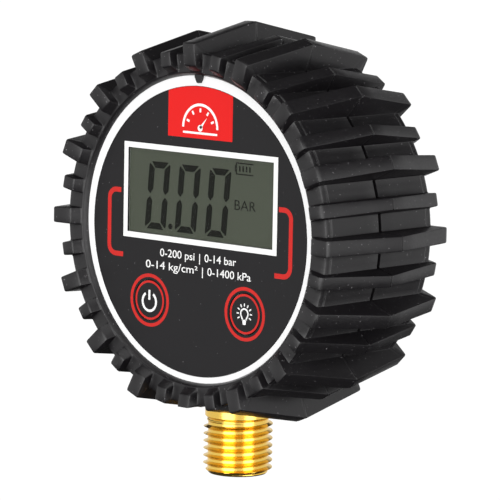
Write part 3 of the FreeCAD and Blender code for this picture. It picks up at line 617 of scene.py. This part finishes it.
def thread_shape():
    """Threaded length of the stem, right-handed. A point at row i and share t of a turn stands at the start plus
    (i / rows a turn + t) pitches, held between the two ends, so rows follow the helix. The ridge's height is
    (1 - w / 0.64)^1.5, where w is the distance from the crest over half a pitch. At the free end the radius
    stays under a cone that widens by 1.1 for each unit up, and the ridge fades out before the collar."""
    root, pitch, start, end = (THREAD[name] for name in ("root", "pitch", "start", "end"))
    rows = int((end - start) / pitch * ROWS_A_TURN) + 2 * ROWS_A_TURN
    row = np.arange(rows)[:, None] - ROWS_A_TURN
    turn = np.arange(STEM_STEPS + 1)[None, :] / STEM_STEPS
    level = np.clip(start + (row / ROWS_A_TURN + turn) * pitch, start, end)
    wave = np.abs(2 * np.mod(row / ROWS_A_TURN, 1.0) - 1)
    ridge = np.clip(1 - wave / 0.64, 0, 1) ** 1.5
    ridge = ridge * np.clip((end - 0.1 - level) / (0.5 * pitch), 0, 1)
    radius = np.minimum(root + (THREAD["crest"] - root) * ridge, root + (level - start) * 1.1)
    angle = 2 * math.pi * turn
    points = np.stack([radius * np.cos(angle), radius * np.sin(angle), level], axis=-1).reshape(-1, 3)
    return points, [grid_faces(rows, STEM_STEPS + 1)]


def stem_shape():
    """The whole stem: the thread, and one turned profile from the chamfered free end up the bore, round the
    sensor's pocket and the head, and down the collar."""
    low, high = node_box("brass_stem")
    root, start, end = THREAD["root"], THREAD["start"], THREAD["end"]
    profile = [(root, start), (5.6, 0.05), (5.45, low[2]), (2.1, low[2]), (BORE, 0.35), (BORE, BORE_END),
               (POCKET, BORE_END), (POCKET, high[2]), (HEAD, high[2]), (HEAD, SHOULDER), (COLLAR, SHOULDER),
               (COLLAR, end + 0.9), (COLLAR, end + 0.55), (root + 0.1, end + 0.05), (root, end)]
    return joined([thread_shape(), turned(profile, STEM_STEPS, "Z")])


class GAUGE_OT_stem(bpy.types.Operator):
    """Build the brass stem with its inlet thread, and finish the sensor inside it"""
    bl_idname = "gauge.stem"
    bl_label = "Brass stem"

    def execute(self, context):
        """Turn the stem, add its square flange and finish the sensor's nodes."""
        add_piece("stem", stem_shape(), "gauge", "brass", ["brass_stem"], 32.0)
        outline = eased(rectangle(-FLANGE_HALF, -FLANGE_HALF, FLANGE_HALF, FLANGE_HALF), 0.8, 4)
        hole = pin(FLANGE_HOLE, FLANGE_LOW - 1, FLANGE_HIGH + 1)
        flange = boolean_mesh("stem_flange", slab(outline, FLANGE_LOW, FLANGE_HIGH), [("DIFFERENCE", hole)], 32.0)
        add_piece("stem_flange", flange, "gauge", "brass")
        finish_nodes(sensor_oring="seal", pressure_sensor="can", sensor_retainer="brass", sensor_leads="wire")
        return {"FINISHED"}


# ---- face

BORDER = 1.05  # width of the white line round the window
OUTER_RING, INNER_RING = (5.10, 4.44), (3.78, 3.36)  # outer and inner radius of the rings round a button
BUTTON_SIDES = {"power": -1, "light": 1}
BUTTON_X, BUTTON_Z = 12.33, -14.26

# Each bracket beside the window: the heights of its two arms, where they end, and where its upright stands.
BRACKETS = {
    "bracket_left": dict(side=-1, top=6.25, bottom=-6.1, reach_top=-20.3, reach_bottom=-19.6, at_x=-23.35),
    "bracket_right": dict(side=1, top=6.12, bottom=-6.26, reach_top=20.44, reach_bottom=19.63, at_x=23.48),
}

# Each range: its words, where they begin and end, and the height of their line.
RANGES = {
    "range_psi": ("0-200 psi", -9.75, -0.75, -5.5),
    "range_bar": ("0-14 bar", 1.85, 9.94, -5.5),
    "range_kg": ("0-14 kg/cm²", -13.45, 0.1, -8.0),
    "range_kpa": ("0-1400 kPa", 2.65, 13.71, -8.0),
}
RANGE_CAP = 1.55  # height of a capital
RANGE_BARS = ((0.58, -5.5), (1.38, -8.0))  # the bar between two ranges: its place across, and its line's height
BAR_WIDTH = 0.21


def lettering(name, text, left, right, base, cap, front, look, weight):
    """Print with real letters: drawn as a text curve, made a mesh, then scaled so that it fills the width from
    left to right and its capitals are `cap` high above the line `base`. The weight thickens the strokes."""
    curve = bpy.data.curves.new(name, "FONT")
    curve.body = text
    curve.size = 1.0
    curve.offset = weight
    curve.resolution_u = 6
    curve.extrude = 0.5
    helper = new_object(name, curve)
    view = bpy.context.evaluated_depsgraph_get()
    mesh = bpy.data.meshes.new_from_object(helper.evaluated_get(view))
    bpy.data.objects.remove(helper)
    points = np.empty(len(mesh.vertices) * 3)
    mesh.vertices.foreach_get("co", points)
    points = points.reshape(-1, 3)
    wide = points[:, 0].max() - points[:, 0].min()
    capital = 0.73  # height of a capital in a font of size 1
    thick = bpy.context.scene.gauge.face.print_thick / MM
    x = left + (points[:, 0] - points[:, 0].min()) * (right - left) / wide
    z = base + points[:, 1] * cap / capital + LABEL_MIDDLE
    y = front + (0.5 - points[:, 2]) * thick
    mesh.vertices.foreach_set("co", (np.stack([x, y, z], axis=-1) * MM).ravel())
    close_seams(mesh, 1e-7)
    add_piece(name, mesh, "gauge", look)


def bracket(side, top, bottom, reach_top, reach_bottom, at_x):
    """Path of a bracket beside the window: in along the top arm, down and out along the bottom arm, with the two
    corners turned on arcs."""
    bend = 1.7
    upper = arc((at_x - side * bend, top - bend), bend, 90, 0 if side > 0 else 180, 8)
    lower = arc((at_x - side * bend, bottom + bend), bend, 0 if side > 0 else 180, -90 if side > 0 else 270, 8)
    return np.vstack([[(reach_top, top)], upper, lower, [(reach_bottom, bottom)]])


def badge_outline():
    """The badge: a straight foot with eased corners, two upright sides, and a top that follows the label's rim."""
    left, right, foot, rim = -8.1, 8.45, 17.63, LABEL_RADIUS - 0.05
    ends = [math.degrees(math.acos(x / rim)) for x in (right, left)]
    corner = 0.12
    lower_left = arc((left + corner, foot + corner), corner, 180, 270, 6)
    lower_right = arc((right - corner, foot + corner), corner, 270, 360, 6)
    return np.vstack([lower_left, lower_right, arc((0, 0), rim, ends[0], ends[1], 24)])


def heading(degrees):
    """Unit step (x, z) at an angle from the right, counterclockwise."""
    return np.array([math.cos(math.radians(degrees)), math.sin(math.radians(degrees))])


def rays(centre, near, far, angles, width, front, back):
    """Short strips that point away from a centre, one at each angle, between two radii."""
    return [strip([centre + near * way, centre + far * way], width, front, back) for way in map(heading, angles)]


def dial_mark(front, back):
    """Generic sign for a gauge on the badge: a half ring, five ticks, a needle with its hub and a foot line."""
    centre, radius = np.array((0.2, 19.6)), 4.4
    way, side = heading(50), 0.3 * heading(140)
    needle = [centre - side, centre + 2.7 * way, centre + side]
    foot = [centre + (-radius, -0.95), centre + (radius, -0.95)]
    return joined([strip(arc(centre, radius, 0, 180, 40), 0.5, front, back),
                   *rays(centre, 3.0, 3.75, (22, 56, 90, 124, 158), 0.42, front, back),
                   plate(np.array(needle), front, back), plate(arc(centre, 0.62, 0, 345, 24), front, back),
                   strip(foot, 0.4, front, back)])


def button_ring(side, outer, inner, front, back):
    """Flat ring round a button: a turned rectangle."""
    profile = [(inner, front), (outer, front), (outer, back), (inner, back)]
    return turned(profile, 96, "Y", (side * BUTTON_X, 0, BUTTON_Z + LABEL_MIDDLE), True)


def lay(name, shape, look):
    """Lay a print on the label."""
    add_piece(name, shape, "gauge", look)


class GAUGE_OT_face(bpy.types.Operator):
    """Print the face: window border, brackets, badge, range lines and the rings round the buttons"""
    bl_idname = "gauge.face"
    bl_label = "Face print"

    def execute(self, context):
        """Finish the label and lay each print on it."""
        face = context.scene.gauge.face
        thick = face.print_thick / MM
        front, back = FACE - thick, FACE + thick / 2
        finish_nodes(label_overlay="label")
        reach = 0.05 + BORDER / 2  # from the window's edge to the middle of its border
        low, high = WINDOW_LOW - reach, WINDOW_HIGH + reach
        frame_line = rectangle(low[0], low[2] - LABEL_MIDDLE, high[0], high[2] - LABEL_MIDDLE)
        lay("window_border", strip(frame_line, BORDER, front - thick, back, True), "white_print")
        for name, places in BRACKETS.items():
            lay(name, strip(bracket(**places), face.line / MM, front, back), "red_print")
        lay("badge", plate(badge_outline(), front, back), "badge_print")
        lay("badge_dial_mark", dial_mark(front - thick, front + thick / 2), "white_print")
        for name, (text, left, right, base) in RANGES.items():
            lettering(name, text, left, right, base, RANGE_CAP, front, "white_print", weight=0.002)
        bars = [strip([(x, base - 0.62), (x, base + 1.38)], BAR_WIDTH, front, back) for x, base in RANGE_BARS]
        lay("range_bars", joined(bars), "white_print")
        for name, side in BUTTON_SIDES.items():
            lay(name + "_outer_ring", button_ring(side, *OUTER_RING, front, back), "red_print")
        return {"FINISHED"}


# ---- display

DIGIT_SLANT = 0.09  # how far a digit leans to the right for each millimetre up
DIGIT_WIDE, DIGIT_TALL = 5.5, 12.98
DIGIT_FOOT = -0.58
DIGIT_LEFTS = (-14.33, -6.45, 1.37)


def digit_zero(left, front, back):
    """Six segments of a seven-segment zero, drawn upright and then sheared by x + slant z. The lower and right
    ones are the upper and left ones mirrored."""
    wide, tall, bar, post, gap = DIGIT_WIDE, DIGIT_TALL, 1.25, 1.45, 0.16
    middle = tall / 2
    top = np.array([(0.55, tall), (wide - 0.55, tall), (wide - post - gap, tall - bar), (post + gap, tall - bar)])
    left_post = np.array([(0.18, tall - 0.35), (post, tall - bar - gap), (post, middle + 1.1),
                          (post * 0.55, middle + 0.22), (0.0, middle + 1.0), (0.0, tall - 0.75)])
    shapes = []
    for segment in (top, left_post, left_post * (-1, 1) + (wide, 0)):
        for mirrored in (segment, segment * (1, -1) + (0, tall)):
            soft = eased(mirrored, 0.13, 3)
            leaning = soft @ [(1, 0), (DIGIT_SLANT, 1)] + (left, DIGIT_FOOT)
            shapes.append(plate(leaning, front, back))
    return joined(shapes)


def battery_sign(front, back):
    """Battery sign: an outline open on the right, its nub on the left and four bars."""
    left, right, low, high = 9.25, 13.5, 11.75, 13.8
    outline = [(right, high), (left, high), (left, low), (right, low)]
    nub = [(left, 13.3), (left - 0.3, 13.3), (left - 0.3, 12.3), (left, 12.3)]
    bars = [strip([(x, 12.25), (x, 13.3)], 0.36, front, back) for x in (10.1, 10.95, 11.8, 12.65)]
    return joined([strip(outline, 0.22, front, back), strip(nub, 0.22, front, back)] + bars)


class GAUGE_OT_display(bpy.types.Operator):
    """Build the display's segments, and finish its window, panel, holder and backlight"""
    bl_idname = "gauge.display"
    bl_label = "Display"

    def execute(self, context):
        """Stand the segments just proud of the panel, and finish the nodes round them."""
        front, back = PANEL_FRONT - 0.025, PANEL_FRONT + 0.01
        digits = [digit_zero(left, front, back) for left in DIGIT_LEFTS]
        point = plate(arc((-7.53, 0.3), 0.55, 0, 345, 20), front, back)
        add_piece("display_digits", joined(digits + [point]), "gauge", "segment", sharp=20.0)
        lettering("display_unit", "BAR", left=8.95, right=14.3, base=5.0, cap=2.0, front=front,
                  look="segment", weight=-0.008)
        add_piece("display_battery", battery_sign(front, back), "gauge", "segment")
        finish_nodes(display_lens="lens", display_panel="glass", backlight_panel="light_guide",
                     display_frame="natural", elastomer_connector="connector")
        return {"FINISHED"}


# ---- buttons

def button_cap(low, high):
    """Button cap turned about the middle of its box: flat top with a rounded rim, straight side, flange behind."""
    middle, flange = (low + high) / 2, (high[0] - low[0]) / 2
    radius, front, lip, back = flange - 0.85, low[1], high[1] - 0.5, high[1]
    corners = [(0, front), (radius - 0.35, front), (radius, front + 0.35), (radius, lip), (flange, lip),
               (flange, back), (0, back)]
    profile = eased(corners, (0, 0.2, 0.2, 0.05, 0.1, 0.1, 0), 4)
    return turned(profile, 96, "Y", (middle[0], 0, middle[2]))


def power_sign(centre, front, back):
    """Power sign: a ring open at the top and an upright bar in the opening."""
    opening = 34
    loop = strip(arc(centre, 1.78, 90 + opening, 450 - opening, 40), 0.48, front, back)
    return joined([loop, strip([centre + (0, 0.35), centre + (0, 2.25)], 0.5, front, back)])


def bulb_sign(centre, front, back):
    """Light sign: the outline of a bulb that narrows to its solid cap, and nine rays round its upper part."""
    glass = np.vstack([centre + (-0.36, -1.25), arc(centre, 0.92, 212, -32, 24), centre + (0.36, -1.25)])
    cap = centre + [(-0.5, -1.1), (0.5, -1.1), (0.36, -2.1), (-0.36, -2.1)]
    return joined([strip(glass, 0.3, front, back), plate(eased(cap, 0.2, 4), front, back),
                   *rays(centre, 1.38, 1.95, np.linspace(-30, 210, 9), 0.24, front, back)])


BUTTON_SIGNS = {"power": (power_sign, -14.55), "light": (bulb_sign, -14.2)}


class GAUGE_OT_buttons(bpy.types.Operator):
    """Build the two button caps with their rings and signs, and finish the switches behind them"""
    bl_idname = "gauge.buttons"
    bl_label = "Buttons"

    def execute(self, context):
        """For each button: cap, inner ring and sign on the cap's body, then its switch."""
        thick = context.scene.gauge.face.print_thick / MM
        for name, side in BUTTON_SIDES.items():
            node, body = name + "_button", name + "_button_cap"
            low, high = node_box(node)
            front, back = low[1] - thick, low[1] + 0.02
            draw, height = BUTTON_SIGNS[name]
            centre = np.array([(low[0] + high[0]) / 2 - 0.1, height])
            add_piece(name + "_cap", button_cap(low, high), body, "button", [node])
            add_piece(name + "_inner_ring", button_ring(side, *INNER_RING, front, back), body,
                      "red_print")
            add_piece(name + "_sign", draw(centre, front, back), body, "white_print")
            finish_nodes(**{name + "_switch": "switch", name + "_actuator": "natural"})
        return {"FINISHED"}


# ---- cells and contacts

def cell_shape(node, side):
    """Cell turned about X: jacket with crimped shoulders, a shallow dish at one end and the nub at the other."""
    low, high = node_box(node)
    middle = (low + high) / 2
    radius = (high[2] - low[2]) / 2
    flat, tip = (low[0], high[0]) if side > 0 else (high[0], low[0])
    corners = [(0, flat + 0.3 * side), (3.0, flat + 0.3 * side), (3.4, flat), (radius - 0.7, flat),
               (radius, flat + 0.7 * side), (radius, tip - 1.8 * side), (radius - 0.6, tip - 1.1 * side),
               (2.9, tip - 1.0 * side), (1.9, tip - 0.9 * side), (1.9, tip), (0, tip)]
    reach = (0, 0.15, 0.15, 0.3, 0.4, 0.4, 0.3, 0.2, 0.1, 0.4, 0)
    return turned(eased(corners, reach, 4), 64, "X", (0, middle[1], middle[2]))


def coil(start, end, wide=3.1, narrow=2.2, wire_radius=0.3, turns=3.0, steps=220, around=10):
    """Coil spring along X: a round wire carried along the helix whose radius goes evenly from wide to narrow.
    The wire's circle lies across the helix's own direction, and its first and last circles shrink to a point,
    which closes the ends."""
    share = np.linspace(0, 1, steps)
    angle = 2 * math.pi * turns * share
    radius = wide + (narrow - wide) * share
    centre = np.stack([start[0] + (end[0] - start[0]) * share, start[1] + radius * np.cos(angle),
                       start[2] + radius * np.sin(angle)], axis=-1)
    way = np.gradient(centre, axis=0)
    way /= np.linalg.norm(way, axis=1, keepdims=True)
    out = np.stack([0 * share, np.cos(angle), np.sin(angle)], axis=-1)
    side = np.cross(way, out)
    side /= np.linalg.norm(side, axis=1, keepdims=True)
    out = np.cross(side, way)
    turn = np.arange(around) * (2 * math.pi / around)
    thick = np.full(steps, wire_radius)
    thick[[0, -1]] = 0.0
    circle = np.cos(turn)[None, :, None] * out[:, None] + np.sin(turn)[None, :, None] * side[:, None]
    points = centre[:, None] + thick[:, None, None] * circle
    return points.reshape(-1, 3), [grid_faces(steps, around, False, True)]


class GAUGE_OT_battery(bpy.types.Operator):
    """Build the two cells and the contact springs, and finish the contacts and their leads"""
    bl_idname = "gauge.battery"
    bl_label = "Cells and contacts"

    def execute(self, context):
        """Cells head to tail, with a coil at each negative end."""
        springs = []
        springs_low, springs_high = node_box("contact_springs")
        for name, side in (("cell_upper", 1), ("cell_lower", -1)):
            add_piece(name + "_can", cell_shape(name, side), "gauge", name, [name])
            low, high = node_box(name)
            middle = (low + high) / 2
            foot, tip = (springs_low[0], low[0]) if side > 0 else (springs_high[0], high[0])
            gap = side * 0.32  # keeps the wire off the plate and off the cell
            springs.append(coil((foot + gap, middle[1], middle[2]), (tip - gap, middle[1], middle[2])))
        add_piece("coil_springs", joined(springs), "gauge", "nickel", ["contact_springs"], 60.0)
        finish_nodes(contact_plates="nickel", battery_leads="wire")
        return {"FINISHED"}


# ---- case, door and board

RIBS, RIB_PITCH = 7, 0.8
RIB_HALF_LONG, RIB_HALF_TALL = 5.5, 0.2
LOWEST_RIB = 3.6  # above the dial's axis


class GAUGE_OT_case(bpy.types.Operator):
    """Finish the two housings, the door and the screws, and build the door's grip ribs"""
    bl_idname = "gauge.case"
    bl_label = "Case and door"

    def execute(self, context):
        """Ribs stand on the door's back and move with it."""
        back = node_box("battery_door")[1][1]
        ribs = []
        for z in DIAL_AXIS - LABEL_MIDDLE + LOWEST_RIB + RIB_PITCH * np.arange(RIBS):
            outline = rectangle(-RIB_HALF_LONG, z - RIB_HALF_TALL, RIB_HALF_LONG, z + RIB_HALF_TALL)
            ribs.append(plate(eased(outline, 0.18, 3), back - 0.1, back + 0.35))
        add_piece("door_grip", joined(ribs), "door", "black_case")
        finish_nodes(front_housing="white_case", rear_housing="black_case", battery_door="black_case",
                     case_screws="steel", door_screw="steel")
        return {"FINISHED"}


class GAUGE_OT_board(bpy.types.Operator):
    """Finish the circuit board and what is on it"""
    bl_idname = "gauge.board"
    bl_label = "Circuit board"

    def execute(self, context):
        """These nodes keep their CAD shapes."""
        finish_nodes(circuit_board="board", board_screws="steel", controller_blob="epoxy",
                     board_components="epoxy")
        return {"FINISHED"}


# ---- stage

CAMERA_TARGET = (13.377, -12.19, 45.31)  # the point that the camera looks at
FLOOR_HALF, FLOOR_LEVEL, FLOOR_THICK = 450.0, -300.0, 5.0
BELT, ZENITH = 0.86, 0.05  # brightness of the surroundings at the horizon and overhead
LIGHT_DISTANCE = 1.1  # metres, from the dial's middle

# Each soft light: degrees round the gauge from the camera, degrees above the horizon, width and height in metres,
# and its power as a share of the main light's.
SOFT_LIGHTS = {
    "light_left": (-35.5, 6.0, 0.87, 1.5, 1.0),
    "light_right": (42.0, 0.0, 0.68, 2.2, 1.15),
    "light_top": (-20.0, 74.0, 0.9, 0.9, 0.32),
}


def towards(azimuth, elevation):
    """Unit vector from the gauge at an angle round it from the dial's front and above the horizon."""
    return Vector((math.sin(azimuth) * math.cos(elevation), -math.cos(azimuth) * math.cos(elevation),
                   math.sin(elevation)))


def camera_axes(stage):
    """Right, up and back of the camera: back points from the target to the camera, and the roll turns right and
    up about it."""
    back = towards(stage.azimuth, stage.elevation)
    right = Vector((math.cos(stage.azimuth), math.sin(stage.azimuth), 0))
    up = back.cross(right)
    cosine, sine = math.cos(stage.roll), math.sin(stage.roll)
    return right * cosine + up * sine, up * cosine - right * sine, back


def add_softbox(name, azimuth, elevation, wide, tall, power):
    """Soft light that faces the dial's middle from an angle round the gauge and above the horizon."""
    light = bpy.data.lights.new(name, "AREA")
    light.shape = "RECTANGLE"
    light.size, light.size_y = wide, tall
    light.energy = power
    lamp = new_object(name, light)
    away = towards(azimuth, elevation)
    place = Matrix.Translation(Vector((0, 0, DIAL_AXIS * MM)) + away * LIGHT_DISTANCE)
    lamp.matrix_world = place @ away.to_track_quat("Z", "Y").to_matrix().to_4x4()


def pale_floor():
    """Floor that the camera sees as even white. For light and reflections it is a dark matt sheet with a faint
    grain, so that it doesn't light the boot from below."""
    material = new_finish("pale_floor", (0.05, 0.05, 0.05), (0.6, 0.7), 3.0, 0.98, 400.0, 0.02, 0.05)
    tree = material.node_tree
    matt = next(node for node in tree.nodes if node.type == "BSDF_PRINCIPLED")
    output = next(node for node in tree.nodes if node.type == "OUTPUT_MATERIAL")
    seen = wire(tree, "LightPath").outputs["Is Camera Ray"]
    glow = wire(tree, "Emission", Color=(1, 1, 1, 1), Strength=1.02)
    mix = tree.nodes.new("ShaderNodeMixShader")
    for socket, source in zip(mix.inputs, (seen, matt.outputs[0], glow.outputs[0])):
        tree.links.new(source, socket)
    tree.links.new(mix.outputs[0], output.inputs[0])
    outline = rectangle(-FLOOR_HALF, -FLOOR_HALF, FLOOR_HALF, FLOOR_HALF)
    shape = slab(outline, FLOOR_LEVEL - FLOOR_THICK, FLOOR_LEVEL)
    floor = new_object("floor", new_mesh("floor", shape))
    floor.data.materials.append(material)


def white_world(scene):
    """White surroundings as in a light tent. The camera sees them as even white. For light and reflections they
    are a belt round the horizon, which fades towards a dim top and a dark bottom with the sine of the angle
    above the horizon."""
    world = bpy.data.worlds.new("studio")
    scene.world = world
    world.use_nodes = True
    tree = world.node_tree
    tree.nodes.clear()
    way = wire(tree, "TexCoord").outputs["Generated"]
    rise = wire(tree, "SeparateXYZ", Vector=way).outputs[2]
    above = wire(tree, "MapRange", Value=rise, From_Min=0.22, From_Max=0.48, To_Min=BELT, To_Max=ZENITH)
    level = wire(tree, "MapRange", Value=rise, From_Min=-0.50, From_Max=-0.25, To_Min=0.0,
                 To_Max=above.outputs[0])
    for node in (above, level):
        node.interpolation_type = "SMOOTHSTEP"
    seen = wire(tree, "LightPath").outputs["Is Camera Ray"]
    shown = wire(tree, "MapRange", Value=seen, To_Min=level.outputs[0], To_Max=1.05).outputs[0]
    ground = wire(tree, "Background", Color=(1, 1, 1, 1), Strength=shown)
    wire(tree, "OutputWorld", Surface=ground.outputs[0])


class GAUGE_OT_stage(bpy.types.Operator):
    """Set up the floor, the soft lights, the surroundings and the camera"""
    bl_idname = "gauge.stage"
    bl_label = "Stage"

    def execute(self, context):
        """Two soft boxes stand either side of the camera, and a third hangs above."""
        scene, stage = context.scene, context.scene.gauge.stage
        pale_floor()
        white_world(scene)
        for name, (turn, lift, wide, tall, share) in SOFT_LIGHTS.items():
            add_softbox(name, stage.azimuth + math.radians(turn), math.radians(lift), wide, tall,
                        stage.power * share)
        right, up, back = camera_axes(stage)
        camera = new_object("camera", bpy.data.cameras.new("camera"))
        camera.data.lens = stage.lens
        camera.data.sensor_width = 36.0
        camera.data.clip_start = 0.01
        camera.matrix_world = (Matrix.Translation(Vector(CAMERA_TARGET) * MM + back * stage.distance)
                               @ Matrix((right, up, back)).transposed().to_4x4())
        scene.camera = camera
        scene.view_settings.view_transform = "Standard"
        return {"FINISHED"}


# ---- add-on

OPERATORS = (GAUGE_OT_boot, GAUGE_OT_stem, GAUGE_OT_case, GAUGE_OT_face, GAUGE_OT_display, GAUGE_OT_buttons,
             GAUGE_OT_battery, GAUGE_OT_board, GAUGE_OT_stage)


class GAUGE_PT_panel(bpy.types.Panel):
    """Lists the settings and the gauge's operators"""
    bl_idname = "GAUGE_PT_panel"
    bl_label = "Tire pressure gauge"
    bl_space_type = "VIEW_3D"
    bl_region_type = "UI"
    bl_category = "Gauge"

    def draw(self, context):
        """One box of sliders for each group, then one button for each operator."""
        settings = context.scene.gauge
        for group in (settings.boot, settings.face, settings.metal, settings.stage):
            box = self.layout.box()
            for name in group.__annotations__:
                box.prop(group, name)
        for kind in OPERATORS:
            self.layout.operator(kind.bl_idname)


CLASSES = (BootSettings, FaceSettings, MetalSettings, StageSettings, GaugeSettings, *OPERATORS, GAUGE_PT_panel)


def register():
    """Register the classes and hang the settings on the scene."""
    for kind in CLASSES:
        bpy.utils.register_class(kind)
    bpy.types.Scene.gauge = PointerProperty(type=GaugeSettings)


def unregister():
    """Undo what register did."""
    del bpy.types.Scene.gauge
    for kind in reversed(CLASSES):
        bpy.utils.unregister_class(kind)


def main():
    """Build the gauge: register the add-on and run each of its operators."""
    register()
    for kind in OPERATORS:
        getattr(bpy.ops.gauge, kind.bl_idname.split(".")[1])()


if __name__ == "__main__":
    main()
